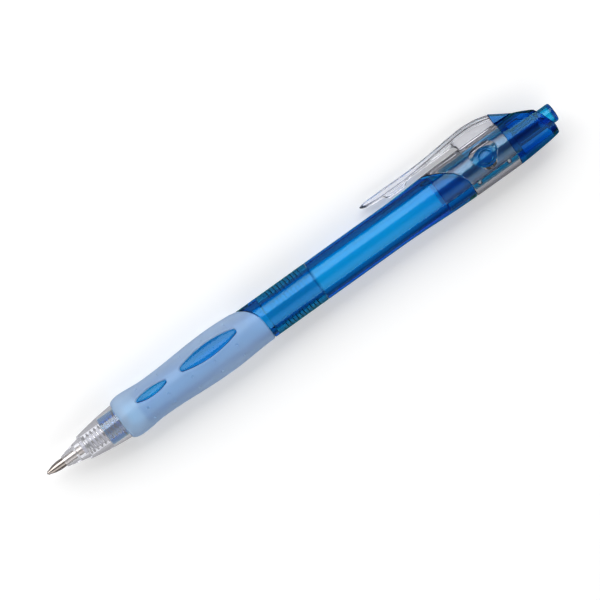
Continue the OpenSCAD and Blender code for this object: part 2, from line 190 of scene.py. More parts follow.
def slanted_edge(x, end_z, centre_x, arc_r):
    """How far from the point an edge lies that is straight below and curves forward towards the clip."""
    reach = np.clip(arc_r**2 - np.maximum(x - centre_x, 0) ** 2, 0, None)
    return end_z - arc_r + np.sqrt(reach)


def grip_edge(x):
    return slanted_edge(x, GRIP_END_Z, -2.4, 8.1)


def sleeve_edge(x):
    """How far from the point the sleeve's front edge lies, which bends forward towards the clip."""
    return SLEEVE_Z - 0.115 * np.maximum(x + 3.5, 0) ** 2


def round_drop(distance, radius):
    """How far a surface falls beside an edge that is rounded to that radius."""
    d = np.clip(radius - distance, 0, radius)
    return radius - np.sqrt(radius**2 - d**2)


# ---------------------------------------------------------------- mesh building


def mesh_object(name, verts, faces):
    mesh = bpy.data.meshes.new(name)
    mesh.from_pydata([tuple(v) for v in verts], [], faces)
    bm = bmesh.new()
    bm.from_mesh(mesh)
    bmesh.ops.remove_doubles(bm, verts=bm.verts, dist=1e-8)
    bmesh.ops.recalc_face_normals(bm, faces=bm.faces)
    bm.to_mesh(mesh)
    bm.free()
    obj = bpy.data.objects.new(name, mesh)
    bpy.context.scene.collection.objects.link(obj)
    return obj


def grid_faces(rows, columns, wrap_rows, keep=None):
    """Four-sided faces between rows of points that each go right round, wherever keep is true."""
    faces = []
    for i in range(rows if wrap_rows else rows - 1):
        for j in range(columns):
            if keep is not None and not keep[i][j]:
                continue
            a, b = i * columns, ((i + 1) % rows) * columns
            k = (j + 1) % columns
            faces.append((a + j, b + j, b + k, a + k))
    return faces


def fanned_faces(rows, columns):
    """Faces between rows of points, closed by a fan at each end round the two points that follow them."""
    faces = grid_faces(rows, columns, False)
    first, last = rows * columns, rows * columns + 1
    for j in range(columns):
        k = (j + 1) % columns
        faces.append((first, j, k))
        faces.append((last, (rows - 1) * columns + k, (rows - 1) * columns + j))
    return faces


def circle(steps):
    """Evenly spaced angles right round."""
    return np.arange(steps) * TAU / steps


def around(z, r, turn):
    """Upright points from the distance along the pen, the radius and the angle about it."""
    z, r, turn = np.broadcast_arrays(z, r, turn)
    return np.stack([r * np.cos(turn), r * np.sin(turn), z], axis=-1)


def ring_solid(name, z, r, turn):
    """A solid that goes round the pen, from arrays of its closed outline (rows) at each angle (columns)."""
    points = around(z, r, turn)
    rows, columns = points.shape[:2]
    verts = laid(points).reshape(-1, 3)
    return mesh_object(name, verts, grid_faces(rows, columns, True))


def ring_from_rows(name, rows, turn):
    """A solid that goes round the pen, from rows of (z, r). Either may be one number or one for each
    column, and a row that has its own angles is (z, r, angles)."""
    full = []
    for z, r, *own_turn in rows:
        full.append(np.broadcast_arrays(z, r, own_turn[0] if own_turn else turn))
    z, r, turns = np.array(full, float).transpose(1, 0, 2)
    return ring_solid(name, z, r, turns)


def corner_curve(start, corner, end):
    """Points of a curve that rounds off a corner."""
    shares = np.linspace(0, 1, FILLET_STEPS + 1)
    return [(1 - t) ** 2 * start + 2 * t * (1 - t) * corner + t**2 * end for t in shares]


def filleted(outline):
    """A closed outline of (z, r, rounding) corners as (z, r) points with its corners rounded."""
    out = []
    n = len(outline)
    for i, (z, r, rounding) in enumerate(outline):
        p = np.array((z, r))
        before = np.array(outline[i - 1][:2]) - p
        after = np.array(outline[(i + 1) % n][:2]) - p
        la, lb = np.linalg.norm(before), np.linalg.norm(after)
        if rounding <= 0 or la < 1e-9 or lb < 1e-9:
            out.append(p)
            continue
        ua, ub = before / la, after / lb
        angle = math.acos(max(-1, min(1, float(ua @ ub))))
        if angle > math.pi - 0.02:
            out.append(p)
            continue
        cut = min(rounding / math.tan(angle / 2), 0.49 * la, 0.49 * lb)
        out.extend(corner_curve(p + ua * cut, p, p + ub * cut))
    return np.array(out)


def evenly_filleted(outline):
    """Like filleted(), but each corner gives the same number of points, however short its sides are."""
    out = []
    n = len(outline)
    for i, (z, r, rounding) in enumerate(outline):
        p = np.array((z, r))
        if rounding == 0:
            out.append(p)
            continue
        before = np.array(outline[i - 1][:2]) - p
        after = np.array(outline[(i + 1) % n][:2]) - p
        la, lb = np.linalg.norm(before), np.linalg.norm(after)
        start = p + before / max(la, 1e-9) * min(rounding, 0.45 * la)
        end = p + after / max(lb, 1e-9) * min(rounding, 0.45 * lb)
        out.extend(corner_curve(start, p, end))
    return np.array(out)


def divided(outline, longest):
    """The outline with its long straight runs divided."""
    out = []
    n = len(outline)
    for i in range(n):
        a, b = outline[i], outline[(i + 1) % n]
        parts = max(1, math.ceil(np.linalg.norm(b - a) / longest))
        out.extend(a + (b - a) * k / parts for k in range(parts))
    return np.array(out)


def turned(name, outline, steps=ROD_STEPS):
    """A turned tube or ring from a closed outline of (z, r, rounding) corners."""
    zr = divided(filleted(outline), 4.0)
    return ring_solid(name, zr[:, :1], zr[:, 1:], circle(steps)[None, :])


def turned_rod(name, outline, longest):
    """A turned solid with no bore: the outline's first and last corners are on the axis."""
    zr = divided(filleted(outline), longest)
    rows = zr[zr[:, 1] > 1e-6]
    points = around(rows[:, :1], rows[:, 1:], circle(ROD_STEPS)[None, :])
    ends = laid([(0, 0, outline[0][0]), (0, 0, outline[-1][0])])
    verts = np.vstack([laid(points).reshape(-1, 3), ends])
    return mesh_object(name, verts, fanned_faces(len(rows), ROD_STEPS))


def joined(kind, base, others):
    """base united with, or cut by, the other objects, which are used up."""
    for other in others:
        modifier = base.modifiers.new(kind, "BOOLEAN")
        modifier.operation = kind
        modifier.solver = "EXACT"
        modifier.object = other
        apply_modifiers(base)
        bpy.data.objects.remove(other)
    return base


def apply_modifiers(obj):
    depsgraph = bpy.context.evaluated_depsgraph_get()
    mesh = bpy.data.meshes.new_from_object(obj.evaluated_get(depsgraph))
    obj.modifiers.clear()
    old = obj.data
    obj.data = mesh
    bpy.data.meshes.remove(old)


def finished(obj, body, material, replaces, sharp=35):
    """Smooths the shading, gives the material and puts the piece on its body."""
    obj.data.polygons.foreach_set("use_smooth", [True] * len(obj.data.polygons))
    obj.data.set_sharp_from_angle(angle=math.radians(sharp))
    weighted = obj.modifiers.new("weighted", "WEIGHTED_NORMAL")
    weighted.keep_sharp = True
    obj.data.materials.clear()
    obj.data.materials.append(material)
    if body is not None:
        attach(obj, body)
    if replaces:
        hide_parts(*replaces)
    return obj


# ---------------------------------------------------------------- materials


def new_material(name):
    material = bpy.data.materials.new(name)
    material.use_nodes = True
    tree = material.node_tree
    tree.nodes.clear()
    output = tree.nodes.new("ShaderNodeOutputMaterial")
    shader = tree.nodes.new("ShaderNodeBsdfPrincipled")
    tree.links.new(shader.outputs["BSDF"], output.inputs["Surface"])
    return material, tree, shader, output


def noise(tree, scale, detail=3.0, stretch=(1, 1, 1)):
    place = tree.nodes.new("ShaderNodeTexCoord")
    mapping = tree.nodes.new("ShaderNodeMapping")
    mapping.inputs["Scale"].default_value = stretch
    texture = tree.nodes.new("ShaderNodeTexNoise")
    texture.inputs["Scale"].default_value = scale
    texture.inputs["Detail"].default_value = detail
    tree.links.new(place.outputs["Object"], mapping.inputs["Vector"])
    tree.links.new(mapping.outputs["Vector"], texture.inputs["Vector"])
    return texture.outputs["Fac"]


def ranged(tree, value, low, high):
    """Spreads a noise's middle range out from low to high."""
    node = tree.nodes.new("ShaderNodeMapRange")
    node.inputs["From Min"].default_value = 0.3
    node.inputs["From Max"].default_value = 0.7
    node.inputs["To Min"].default_value = low
    node.inputs["To Max"].default_value = high
    tree.links.new(value, node.inputs["Value"])
    return node.outputs["Result"]


def mixed(tree, value, a, b):
    node = tree.nodes.new("ShaderNodeMix")
    node.data_type = "RGBA"
    node.inputs["A"].default_value = (*a, 1)
    node.inputs["B"].default_value = (*b, 1)
    tree.links.new(value, node.inputs["Factor"])
    return node.outputs["Result"]


def bumped(tree, shader, height, distance):
    """Relief of that height, in metres."""
    node = tree.nodes.new("ShaderNodeBump")
    node.inputs["Distance"].default_value = distance
    node.inputs["Strength"].default_value = 1.0
    tree.links.new(height, node.inputs["Height"])
    tree.links.new(node.outputs["Normal"], shader.inputs["Normal"])


def toned(tree, colour, tones):
    """The colour, toned along the pen by the colours at distances in millimetres from the point."""
    place = tree.nodes.new("ShaderNodeTexCoord")
    parts = tree.nodes.new("ShaderNodeSeparateXYZ")
    tree.links.new(place.outputs["Object"], parts.inputs["Vector"])
    share = tree.nodes.new("ShaderNodeMapRange")
    share.inputs["From Min"].default_value = POINT_X
    share.inputs["From Max"].default_value = POINT_X - PEN_LENGTH * MM
    tree.links.new(parts.outputs["X"], share.inputs["Value"])
    ramp = tree.nodes.new("ShaderNodeValToRGB")
    for _ in tones[2:]:
        ramp.color_ramp.elements.new(0.5)
    for element, (z, tone) in zip(ramp.color_ramp.elements, tones):
        element.position = z / PEN_LENGTH
        element.color = (*tone, 1)
    tree.links.new(share.outputs["Result"], ramp.inputs["Fac"])
    node = tree.nodes.new("ShaderNodeMix")
    node.data_type = "RGBA"
    node.blend_type = "MULTIPLY"
    node.inputs["Factor"].default_value = 1.0
    tree.links.new(colour, node.inputs["A"])
    tree.links.new(ramp.outputs["Color"], node.inputs["B"])
    return node.outputs["Result"]


def moulded(name, colours, absorbed, density, skin=None, tones=None, glow=0.0):
    """See-through moulded plastic: tinted by its depth, with faint flow marks and polish marks.
    The skin tints what its surface reflects, and the tones colour it along the pen."""
    material, tree, shader, output = new_material(name)
    flow = noise(tree, 600, 4, (0.15, 1, 1))
    colour = mixed(tree, flow, *colours)
    if tones is not None:
        colour = toned(tree, colour, tones)
    tree.links.new(colour, shader.inputs["Base Color"])
    tree.links.new(ranged(tree, noise(tree, 900), 0.0, 0.03), shader.inputs["Roughness"])
    shader.inputs["IOR"].default_value = 1.5
    shader.inputs["Transmission Weight"].default_value = 1.0
    if skin is not None:
        shader.inputs["Coat Weight"].default_value = 1.0
        shader.inputs["Coat IOR"].default_value = 1.0
        shader.inputs["Coat Tint"].default_value = (*skin, 1)
    # painted light: a glow, where given, makes the plastic shine evenly by itself
    shader.inputs["Emission Color"].default_value = (1, 1, 1, 1)
    shader.inputs["Emission Strength"].default_value = glow
    bumped(tree, shader, noise(tree, 180, 0, (0.3, 1, 1)), 1.5e-6)
    volume = tree.nodes.new("ShaderNodeVolumeAbsorption")
    volume.inputs["Color"].default_value = (*absorbed, 1)
    volume.inputs["Density"].default_value = density
    tree.links.new(volume.outputs["Volume"], output.inputs["Volume"])
    return material


def solid(
    name,
    colours,
    rough,
    metallic=0.0,
    grain=1500,
    bump=2e-6,
    stretch=(1, 1, 1),
    coat=0.0,
    clear=0.0,
    under=0.0,
    glow=None,
    shine=0.5,
):
    """Any other material: two colours and two roughnesses mixed by a fine grain, with a little relief."""
    material, tree, shader, _ = new_material(name)
    tree.links.new(mixed(tree, noise(tree, grain, 4, stretch), *colours), shader.inputs["Base Color"])
    tree.links.new(ranged(tree, noise(tree, grain * 1.7, 3, stretch), *rough), shader.inputs["Roughness"])
    shader.inputs["Metallic"].default_value = metallic
    shader.inputs["Specular IOR Level"].default_value = shine
    shader.inputs["Coat Weight"].default_value = coat
    shader.inputs["Coat Roughness"].default_value = 0.03
    shader.inputs["Transmission Weight"].default_value = clear
    shader.inputs["Subsurface Weight"].default_value = under
    shader.inputs["Subsurface Scale"].default_value = 0.0012
    # painted light: a glow, where given, makes the material shine by itself in that colour
    if glow is not None:
        shader.inputs["Emission Color"].default_value = (*glow, 1)
        shader.inputs["Emission Strength"].default_value = 1.0
    bumped(tree, shader, noise(tree, grain * 2.3, 3, stretch), bump)
    return material


TURNED = (12, 1, 1)
CLEAR = ((0.96, 0.96, 0.98), (0.92, 0.93, 0.96))
CLEAR_ABSORBED = (0.6, 0.6, 0.68)
PALE_BLUE = ((0.90, 0.99, 1.0), (0.84, 0.96, 1.0))
BLUE_SKIN = (0.6, 1.0, 1.0)
CAP_SKIN = (0.35, 0.9, 1.0)
# The spigot's end, the part under the grip, the screw joint, a darker band of painted shade at the seam, and
# the plain rest
BARREL_TONES = (
    (21.0, (0.16, 0.46, 0.72)),
    (22.0, (1, 1, 1)),
    (27.0, (0.95, 0.74, 0.85)),
    (57.0, (0.95, 0.74, 0.85)),
    (61.0, (0.8, 0.84, 0.94)),
    (76.5, (0.8, 0.84, 0.94)),
    # painted shade: the band round the seam is darkened where the two barrels meet
    (76.7, (0.3, 0.55, 0.7)),
    (77.3, (0.3, 0.55, 0.7)),
    (77.5, (1, 1, 1)),
)

clear_plastic = moulded("clear_plastic", CLEAR, CLEAR_ABSORBED, 120)
# painted light: the clear cone glows faintly by itself to brighten it
cone_plastic = moulded("cone_plastic", CLEAR, CLEAR_ABSORBED, 120, glow=0.065)
barrel_plastic = moulded(
    "barrel_plastic", PALE_BLUE, (0.0, 0.835, 0.975), 1700, skin=BLUE_SKIN, tones=BARREL_TONES
)
cap_plastic = moulded("cap_plastic", PALE_BLUE, (0.0, 0.826, 0.95), 2800, skin=CAP_SKIN)
button_plastic = moulded("button_plastic", PALE_BLUE, (0.0, 0.82, 0.93), 4000, skin=BLUE_SKIN)
guide_plastic = solid("guide_plastic", ((0.16, 0.18, 0.42), (0.13, 0.15, 0.37)), (0.1, 0.18), coat=0.5)
natural_plastic = solid("natural_plastic", ((0.82, 0.84, 0.86), (0.76, 0.79, 0.82)), (0.3, 0.4), under=0.4)
# painted light: the refill tube glows cyan-blue to stand in for light gathered inside the barrel round it
tube_plastic = solid(
    "tube_plastic",
    ((0.20, 0.42, 0.48), (0.18, 0.38, 0.45)),
    (0.25, 0.35),
    under=0.4,
    glow=(0.0, 0.34, 0.44),
    shine=0.05,
)
holder_plastic = solid("holder_plastic", ((0.64, 0.64, 0.72), (0.58, 0.58, 0.66)), (0.2, 0.3))
spring_steel = solid("spring_steel", ((0.55, 0.55, 0.56), (0.42, 0.42, 0.44)), (0.18, 0.3), metallic=1.0)
point_nickel = solid(
    "point_nickel", ((0.52, 0.46, 0.42), (0.45, 0.40, 0.37)), (0.14, 0.24), metallic=1.0, stretch=TURNED
)
ink_gel = solid("ink_gel", ((0.02, 0.07, 0.35), (0.01, 0.05, 0.28)), (0.2, 0.3))
grease = solid("grease", ((0.75, 0.74, 0.66), (0.7, 0.69, 0.6)), (0.3, 0.4), under=0.4)
# painted light: the grip glows a faint blue by itself to lift its shading
grip_rubber = solid(
    "grip_rubber",
    ((0.73, 0.86, 1.0), (0.67, 0.82, 1.0)),
    (0.42, 0.52),
    grain=2500,
    bump=4e-6,
    clear=0.8,
    glow=(0.0, 0.012, 0.03),
)

# ---------------------------------------------------------------- nose cone


def nose_cone():
    outside = [(5, 1.42, 0.12), (7.5, 2.05, 0), (10.1, 2.58, 0.06), (10.3, 2.58, 0.05)]
    outside += [(10.5, nose_r(10.5), 0.12)]
    outside += [(z, nose_r(z), 0) for z in np.arange(11.3, 21.2, 1.0)]
    outside += [(21.28, nose_r(21.28), 0.03), (21.28, UNDER_GRIP_R, 0), (26.5, UNDER_GRIP_R, 0.1)]
    inside = [(26.5, 3.6, 0.05), (16.75, 3.6, 0.05), (16.75, 2.6, 0.1), (11.2, 2.6, 0.1), (11.2, 1.75, 0.05)]
    inside += [(8.9, 1.75, 0.2), (8.3, 1.2, 0.1), (5, 1.2, 0.06)]
    return turned("nose_cone_shell", outside + inside, TUBE_STEPS)


finished(nose_cone(), "front", cone_plastic, ["nose_cone"])

# ---------------------------------------------------------------- grip and front barrel


def lens(half_length, half_width, tip):
    """Half length, arc radius and arc centre of the pointed lens that a round-tipped window grows from."""
    length, width = half_length - tip, half_width - tip
    arc_r = (length**2 + width**2) / (2 * width)
    return length, arc_r, arc_r - width


def lens_half_width(dz, half_length, half_width, tip, grow):
    """Half the width of a window, grown on every side, at a distance from its middle."""
    length, arc_r, off = lens(half_length, half_width, tip)
    out = tip + grow
    dz = np.abs(dz)
    side = np.sqrt(np.clip((arc_r + out) ** 2 - dz**2, 0, None)) - off
    end = np.sqrt(np.clip(out**2 - (dz - length) ** 2, 0, None))
    return np.where(dz > length * (1 + out / arc_r), end, side)


def lens_distance(dz, u, half_length, half_width, tip):
    """Distance outside a window's outline, less than 0 inside it."""
    length, arc_r, off = lens(half_length, half_width, tip)
    dz, u = np.abs(dz), np.abs(u)
    end = np.hypot(dz - length, u)
    side = np.hypot(dz, u + off) - arc_r
    return np.where((dz - length) * off > u * length, end, side) - tip


def window_half_turn(z, r, grow):
    """Half the angle that a window takes at each distance along the pen, never quite nothing."""
    half = np.zeros_like(z)
    for middle, half_length, half_width, tip in WINDOWS:
        w = lens_half_width(z - middle, half_length, half_width, tip, grow)
        inside = np.abs(z - middle) <= half_length + grow
        half = np.where(inside, np.arcsin(np.clip(w, 0, None) / r), half)
    return np.maximum(half, WINDOW_LEAST)


def window_distance(z, r, turn, grow):
    """Distance from the nearer window's outline, with turn measured from the window's middle."""
    u = r * np.sin(turn)
    found = [lens_distance(z - m, u, a, b, tip) for m, a, b, tip in WINDOWS]
    return np.minimum(*found) - grow


def window_turns(half_turn, wall):
    """Angles of the grid's columns about the pen, row by row, so that some run along the windows' edges.
    With a wall, the edge has two columns at one place: the window's own and the surface's beside it."""
    inside = np.sin(np.linspace(-1, 1, 13) * math.pi / 2)
    near = np.array([0.0, 0.012, 0.03, 0.055, 0.09, 0.13, 0.19, 0.27, 0.37, 0.48, 0.6, 0.73, 0.87])
    if not wall:
        near = near[1:]
    dense = [np.arange(a - 4.55, a + 4.6, 0.7) for a in DIMPLE_TURNS]
    far = np.concatenate([dense[0], np.arange(39.5, 62, 3.1), dense[1], [76, 79, 82.5, 86]])
    far = np.concatenate([[WINDOW_SIDE], np.radians(far)])
    half = half_turn[:, None]
    near_turns = half + (WINDOW_SIDE - half) * near[None, :]
    out = np.hstack([near_turns, np.repeat(far[None, :], len(half_turn), 0)])
    edge = np.full((len(half_turn), 1), -math.pi / 2)
    side = np.hstack([edge, -out[:, ::-1], half * inside[None, :], out])
    first_inside = 1 + out.shape[1]
    return side, first_inside, len(inside)


# Distances of the grid's rows from a window's tip, more than 0 inside the window
TIP_STEPS = (-0.4, -0.25, -0.12, -0.051, -0.001, 0.02, 0.06, 0.12, 0.2, 0.3, 0.42, 0.56)


def grip_rows():
    """Distances along the pen of the grip's rows, closer together at dimples and window tips."""
    fine = np.arange(-0.45, 0.46, 0.075)
    rows = [GRIP_Z + GRIP_SHOULDER * (1 - math.cos(a)) for a in np.linspace(0, math.pi / 2, 10)]
    rows += list(np.arange(24.3, GRIP_END_Z, 0.38))
    for z in DIMPLES_Z:
        rows = [q for q in rows if abs(q - z) > 0.52] + list(z + fine)
    for middle, half_length, _, _ in WINDOWS:
        for tip, side in ((middle - half_length, 1), (middle + half_length, -1)):
            close = [tip + side * d for d in TIP_STEPS]
            rows = [q for q in rows if min(abs(q - c) for c in close) > 0.06] + close
    return np.array(sorted(rows) + [GRIP_END_Z])


def slanted(z, edge):
    """The grip's rows, the last ones drawn out or in so that the very last lies on the edge."""
    leaning = SLANT_Z + (z - SLANT_Z) * (edge - SLANT_Z) / (GRIP_END_Z - SLANT_Z)
    return np.where(z > SLANT_Z, leaning, z)


def grip_sleeve():
    grow = 0.05
    z = grip_rows()
    half_turn = window_half_turn(z, grip_r(z), grow)
    side, first, count = window_turns(half_turn, wall=False)
    turn = np.hstack([side + WINDOW_TURN, side + WINDOW_TURN + math.pi])
    local = np.hstack([side, side])
    z2 = np.repeat(z[:, None], turn.shape[1], 1)
    r2 = grip_r(z2)
    drop = round_drop(window_distance(z2, r2, local, grow), 0.34)
    for turns in DIMPLE_TURNS:
        for sign in (-1, 1):
            for dz in DIMPLES_Z:
                away = np.hypot(z2 - dz, r2 * (local - sign * math.radians(turns)))
                drop = drop + DIMPLE_DEPTH * (1 + np.cos(np.pi * np.clip(away / DIMPLE_R, 0, 1))) / 2
    edge = grip_edge((r2 - 0.2) * np.cos(turn))
    placed = slanted(z2, edge)
    drop = np.maximum(drop, round_drop(edge - placed, 0.4))
    outer = around(placed, r2 - drop, turn)
    inner = around(placed, GRIP_BORE_R, turn)
    rows, columns = z2.shape
    hole = np.zeros((rows, columns), bool)
    for middle, half_length, _, _ in WINDOWS:
        inside_rows = np.abs(z[:-1] - middle) <= half_length + grow - 1e-6
        inside_next = np.abs(z[1:] - middle) <= half_length + grow - 1e-6
        span = np.append(inside_rows & inside_next, False)
        for start in (first, first + side.shape[1]):
            hole[np.ix_(span, np.arange(start, start + count - 1))] = True
    faces = grid_faces(rows, columns, False, keep=~hole)
    inner_start = rows * columns
    below = [tuple(v + inner_start for v in f) for f in faces]
    edges = dict.fromkeys((a, b) for f in faces for a, b in zip(f, f[1:] + f[:1]))
    walls = [(b, a, a + inner_start, b + inner_start) for a, b in edges if (b, a) not in edges]
    verts = np.vstack([laid(outer).reshape(-1, 3), laid(inner).reshape(-1, 3)])
    return mesh_object("grip_sleeve", verts, faces + below + walls)


finished(grip_sleeve(), "front", grip_rubber, ["grip"], sharp=50)


def thread_wave(z, turn):
    """Height, from -1 to 1, of the rounded right-hand thread, which fades out towards its two ends."""
    fade = np.clip((z - THREAD_Z) / 1.2, 0, 1) * np.clip((THREAD_END_Z - z) / 1.2, 0, 1)
    wave = np.cos(TAU * (z - THREAD_Z) / THREAD_PITCH - turn)
    return fade * np.clip(THREAD_STEEPNESS * wave, -1, 1)


def front_barrel():
    z = grip_rows()
    z = z[z > 26.9]
    lift = grip_r(z) - 0.15
    half_turn = window_half_turn(z, lift, 0.0)
    side, first, count = window_turns(half_turn, wall=True)
    turn = np.hstack([side + WINDOW_TURN, side + WINDOW_TURN + math.pi])
    local = np.hstack([side, side])
    columns = turn.shape[1]
    z2 = np.repeat(z[:, None], columns, 1)
    inside = np.zeros(columns, bool)
    for start in (first, first + side.shape[1]):
        inside[start : start + count] = True
    distance = window_distance(z2, lift[:, None], local, 0.0)
    pad = lift[:, None] - round_drop(-distance, 0.5)
    in_window = (distance <= 1e-6) & inside[None, :]
    r2 = np.where(in_window, np.maximum(pad, UNDER_GRIP_R), UNDER_GRIP_R)
    edge = grip_edge((BARREL_R - 0.2) * np.cos(turn)) + 0.06
    placed = slanted(z2, edge)
    plain_turn = turn[-1]
    thread_r = THREAD_R + THREAD_GAP

    # Outside, from the spigot in the nose cone to the seam
    rows = [(17.0, 3.55), (20.0, 3.55), (23.0, 3.55), (26.45, 3.55), (26.55, 3.62)]
    rows += [(26.56, 4.3), (26.62, UNDER_GRIP_R)]
    rows += list(zip(placed, r2, turn))
    low_edge = placed[-1]
    for up in (0.0, 0.1, 0.25, 0.45, 1.0):
        rows.append((low_edge + 0.001 + up, BARREL_R - float(round_drop(up, 0.25))))
    start_z = low_edge + 1.0
    rows += [(start_z + (76.9 - start_z) * share, BARREL_R) for share in np.linspace(0, 1, 14)[1:]]
    rows += [(76.98, BARREL_R - 0.02), (77.04, BARREL_R - 0.09), (77.05, 4.05), (77.0, thread_r)]

    # Back inside, through the thread and the long bore
    for at in np.arange(76.8, SPIGOT_END_Z, -THREAD_ROW):
        rows.append((at, thread_r + THREAD_DEPTH * thread_wave(at, plain_turn)))
    rows += [(63.15, thread_r), (63.1, 3.85), (63.1, 3.12), (63.0, BORE_R)]
    rows += [(at, BORE_R) for at in np.arange(60, 30, -3.0)]
    rows += [(29.05, BORE_R), (28.9, 2.95), (25, 2.95), (20.9, 2.95), (20.5, 2.58)]
    rows += [(16.9, 2.58), (16.8, 2.68), (16.8, 3.45), (16.88, 3.53)]
    return ring_from_rows("front_barrel_shell", rows, plain_turn)


finished(front_barrel(), "front", barrel_plastic, ["front_barrel"], sharp=40)

# ---------------------------------------------------------------- rear barrel


def boss():
    """A round dished boss on the neck's side, from rings about its own centre."""
    top, bottom = 5.0, 3.95
    profile = [(0.9, top), (1.3, top), (1.5, 5.05), (1.6, 5.16), (1.66, 5.35), (1.73, 5.45), (1.82, 5.5)]
    profile += [(1.95, 5.5), (2.1, 5.48), (2.2, 5.42), (2.25, 5.3), (2.25, 4.6)]
    profile += [(2.25, bottom), (2.0, bottom), (1.0, bottom)]
    turn = circle(BOSS_STEPS)
    rings = []
    for rho, r in profile:
        x = BOSS_X + rho * np.cos(turn)
        y = np.sqrt(r**2 - x**2)
        rings.append(np.stack([x, y, BOSS_Z + rho * np.sin(turn)], axis=-1))
    middles = [[BOSS_X, r, BOSS_Z] for r in (top, bottom)]
    points = np.vstack([np.array(rings).reshape(-1, 3), middles])
    return points, fanned_faces(len(rings), BOSS_STEPS)


def pip_balls(radius):
    """Two pairs of small balls in the neck, on the side away from the clip."""
    rings = np.linspace(0, math.pi, PIP_RINGS + 2)[1:-1, None]
    points = around(radius * np.cos(rings), radius * np.sin(rings), circle(2 * PIP_RINGS + 2))
    points = np.vstack([points.reshape(-1, 3), [(0, 0, radius), (0, 0, -radius)]])
    made = []
    for z in PIPS_Z:
        for side in (-1, 1):
            place = (PIP_PLACE_R * math.cos(PIP_TURN), side * PIP_PLACE_R * math.sin(PIP_TURN), z)
            faces = fanned_faces(PIP_RINGS, 2 * PIP_RINGS + 2)
            made.append(mesh_object("pip", laid(points + np.array(place)), faces))
    return made


def rear_barrel():
    turn = circle(TUBE_STEPS)
    thread_r = THREAD_R - THREAD_GAP

    # Outside, from the threaded spigot over the swell and along the neck
    rows = [(SPIGOT_END_Z, 3.15), (SPIGOT_END_Z, 3.6), (63.3, 3.77), (63.45, thread_r)]
    for at in np.arange(63.6, 77.0, THREAD_ROW):
        rows.append((at, thread_r + THREAD_DEPTH * thread_wave(at, turn)))
    rows += [(SEAM_Z, thread_r), (SEAM_Z, 4.9), (77.11, 5.02), (77.17, 5.085), (77.25, BARREL_R)]
    rows += [(at, BARREL_R) for at in np.arange(80, 98.5, 3.0)]
    rows += [(at, rear_r(at)) for at in np.arange(99.5, 109.0, 1.0)]
    edge = sleeve_edge(SLEEVE_EDGE_R * np.cos(turn))
    for share in np.linspace(0, 1, 12)[1:]:
        at = 109.0 + (edge - 0.5 - 109.0) * share
        rows.append((at, rear_r(at)))
    for back in (0.3, 0.18, 0.08, 0.02):
        rows.append((edge - back, rear_r(edge) - round_drop(back, 0.3)))
    rows += [(edge, rear_r(edge) - 0.25), (edge, NECK_R + 0.05), (edge + 0.05, NECK_R)]
    for share in np.linspace(0, 1, 24)[1:]:
        rows.append((edge + 0.05 + (133.4 - edge - 0.05) * share, NECK_R))
    rows += [(133.55, NECK_R - 0.04), (NECK_END_Z, NECK_R - 0.15), (NECK_END_Z, NECK_BORE_R + 0.1)]

    # Back inside
    rows += [(133.5, NECK_BORE_R), (112.5, NECK_BORE_R), (112.0, BORE_R)]
    rows += [(at, BORE_R) for at in np.arange(109, 64, -3.0)]
    rows.append((63.3, BORE_R))
    tube = ring_from_rows("rear_barrel_shell", rows, turn)

    bosses = []
    for side in (-1, 1):
        points, faces = boss()
        bosses.append(mesh_object("boss", laid(points * np.array([1, side, 1])), faces))
    return joined("UNION", tube, bosses)


finished(rear_barrel(), "rear", barrel_plastic, ["rear_barrel"], sharp=40)
# painted highlight: the pips are pale so that they show as the small white glints by the neck
for number, pip in enumerate(pip_balls(PIP_R), 1):
    pip.name = f"sleeve_pip_{number}"
    finished(pip, "rear", natural_plastic, [])

# ---------------------------------------------------------------- clip and its sleeve

# The clip's top and underside as (distance, height over the axis), and its half width from above
CLIP_TOP = (
    (95.5, 8.25), (96.7, 8.42), (98, 8.45), (110, 8.45), (115, 8.65), (120, 9.05),
    (123, 9.29), (125.5, 9.35), (127.5, 9.23), (130, 8.78), (131.95, 8.15),
)
CLIP_UNDER = (
    (95.3, 8.0), (96.0, 7.7), (98, 7.35), (103, 7.1), (110, 7.25), (115, 7.6),
    (120, 8.0), (125.5, 8.3), (130, 7.7), (131.95, 7.1),
)
CLIP_PLAN = ((95.2, 0.45), (95.45, 0.95), (96.1, 1.25), (98, 1.35), (107, 1.4), (119, 1.8), (135, 1.8))
WEB_LOW_X = 7.1
WEB_FOOT_X = 5.2
WEB_BEND_Z = 121.0
BUMP_MIDDLE_Z = 104.55
BUMP_HALF_LENGTH = 3.25
HOLE_STEPS = 72
# The sleeve's hole round the boss flares outwards: each ring is (y, middle's x, radius)
HOLE_RINGS = ((2.0, -1.51, 1.75), (8.0, 2.21, 4.63))


def along(table, z):
    """A smooth curve through a table of (distance, value)."""
    at = np.array([q[0] for q in table])
    value = np.array([q[1] for q in table])
    slope = np.gradient(value, at)
    i = np.clip(np.searchsorted(at, z) - 1, 0, len(at) - 2)
    span = at[i + 1] - at[i]
    t = np.clip((z - at[i]) / span, 0, 1)
    return (
        (2 * t**3 - 3 * t**2 + 1) * value[i]
        + (t**3 - 2 * t**2 + t) * span * slope[i]
        + (3 * t**2 - 2 * t**3) * value[i + 1]
        + (t**3 - t**2) * span * slope[i + 1]
    )


def lofted(name, sections):
    """A solid through closed sections of equally many points, with flat ends."""
    rows, columns = sections.shape[:2]
    faces = grid_faces(rows, columns, False)
    faces.append(tuple(range(columns)))
    faces.append(tuple((rows - 1) * columns + j for j in reversed(range(columns))))
    return mesh_object(name, laid(sections).reshape(-1, 3), faces)


def box_loft(name, stations):
    """A bar with rounded edges through stations of (z, low, high, half width, rounding)."""
    sections = []
    for z, low, high, half, radius in stations:
        radius = min(radius, (high - low) * 0.48, half * 0.9)
        ring = []
        top, bottom, side = high - radius, low + radius, half - radius
        corners = ((top, side), (bottom, side), (bottom, -side), (top, -side))
        for quarter, (cx, cy) in enumerate(corners):
            for k in range(5):
                a = math.pi / 2 * (quarter + k / 4)
                ring.append((cx + radius * math.cos(a), cy + radius * math.sin(a), z))
        sections.append(ring)
    return lofted(name, np.array(sections))


